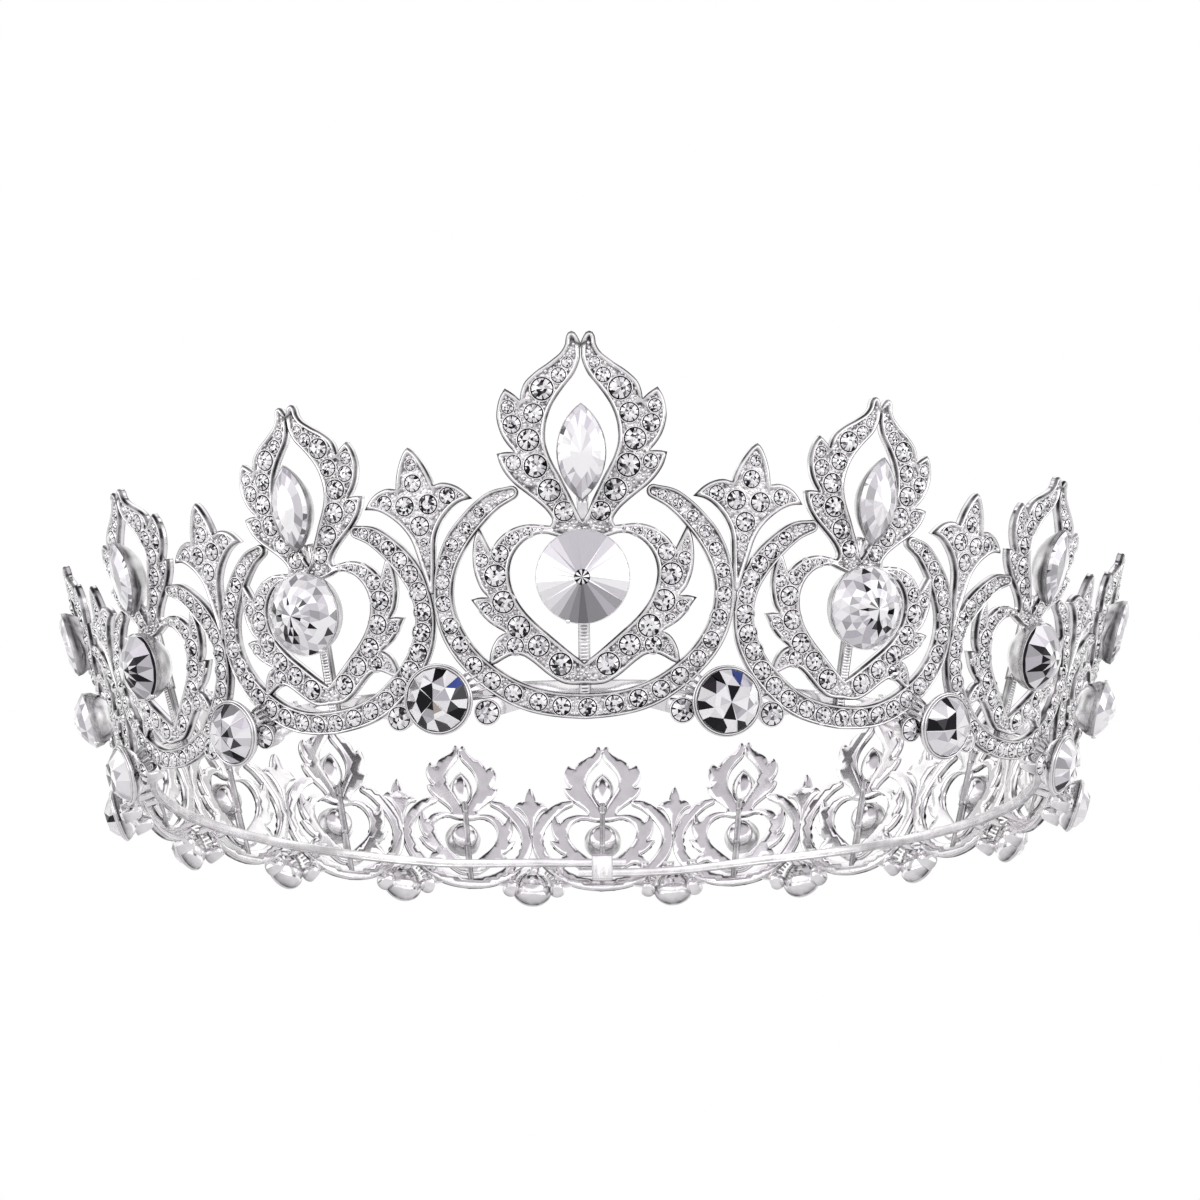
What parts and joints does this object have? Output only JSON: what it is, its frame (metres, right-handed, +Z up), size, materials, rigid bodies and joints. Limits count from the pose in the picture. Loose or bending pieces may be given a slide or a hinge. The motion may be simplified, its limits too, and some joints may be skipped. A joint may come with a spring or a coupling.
{
  "type": "bridal tiara",
  "caption": "Full-round bridal tiara: openwork flame, heart and crescent castings on a hoop, set with round and marquise crystals.",
  "frame": {"origin": "middle of the crown's outer size in plan, level with the lowest points of the junction stones' cups; the hoop's own axis is at x 0, y +1.571 mm", "axes": "+Z up along the crown's axis, front of the crown towards -Y, +X to the right seen from the front"},
  "size_m": [0.1874, 0.19, 0.0506],
  "materials": {
    "silver": "bright silver plate over cast zinc alloy, slightly soft in the recesses",
    "round_crystal": "clear foil-backed crystal with a pointed faceted front, in a plated cup",
    "marquise_crystal": "clear foil-backed marquise crystal in a plated cup",
    "junction_crystal": "clear foil-backed chaton crystal with a flat table, in a plated cup"
  },
  "bodies": {
    "root": {"casting_back": "silver", "casting_front": "silver", "casting_left_back": "silver", "casting_left_front": "silver", "casting_left_side": "silver", "casting_right_back": "silver", "casting_right_front": "silver", "casting_right_side": "silver", "hoop_band": "silver", "hoop_collar": "silver", "junction_stone_left_1": "junction_crystal", "junction_stone_left_2": "junction_crystal", "junction_stone_left_3": "junction_crystal", "junction_stone_left_4": "junction_crystal", "junction_stone_left_5": "junction_crystal", "junction_stone_left_6": "junction_crystal", "junction_stone_left_7": "junction_crystal", "junction_stone_left_8": "junction_crystal", "junction_stone_right_1": "junction_crystal", "junction_stone_right_2": "junction_crystal", "junction_stone_right_3": "junction_crystal", "junction_stone_right_4": "junction_crystal", "junction_stone_right_5": "junction_crystal", "junction_stone_right_6": "junction_crystal", "junction_stone_right_7": "junction_crystal", "junction_stone_right_8": "junction_crystal", "marquise_stone_back": "marquise_crystal", "marquise_stone_front": "marquise_crystal", "marquise_stone_left_1": "marquise_crystal", "marquise_stone_left_2": "marquise_crystal", "marquise_stone_left_3": "marquise_crystal", "marquise_stone_left_4": "marquise_crystal", "marquise_stone_left_5": "marquise_crystal", "marquise_stone_left_6": "marquise_crystal", "marquise_stone_left_7": "marquise_crystal", "marquise_stone_right_1": "marquise_crystal", "marquise_stone_right_2": "marquise_crystal", "marquise_stone_right_3": "marquise_crystal", "marquise_stone_right_4": "marquise_crystal", "marquise_stone_right_5": "marquise_crystal", "marquise_stone_right_6": "marquise_crystal", "marquise_stone_right_7": "marquise_crystal", "round_stone_back": "round_crystal", "round_stone_front": "round_crystal", "round_stone_left_1": "round_crystal", "round_stone_left_2": "round_crystal", "round_stone_left_3": "round_crystal", "round_stone_left_4": "round_crystal", "round_stone_left_5": "round_crystal", "round_stone_left_6": "round_crystal", "round_stone_left_7": "round_crystal", "round_stone_right_1": "round_crystal", "round_stone_right_2": "round_crystal", "round_stone_right_3": "round_crystal", "round_stone_right_4": "round_crystal", "round_stone_right_5": "round_crystal", "round_stone_right_6": "round_crystal", "round_stone_right_7": "round_crystal"}
  },
  "joints": []
}
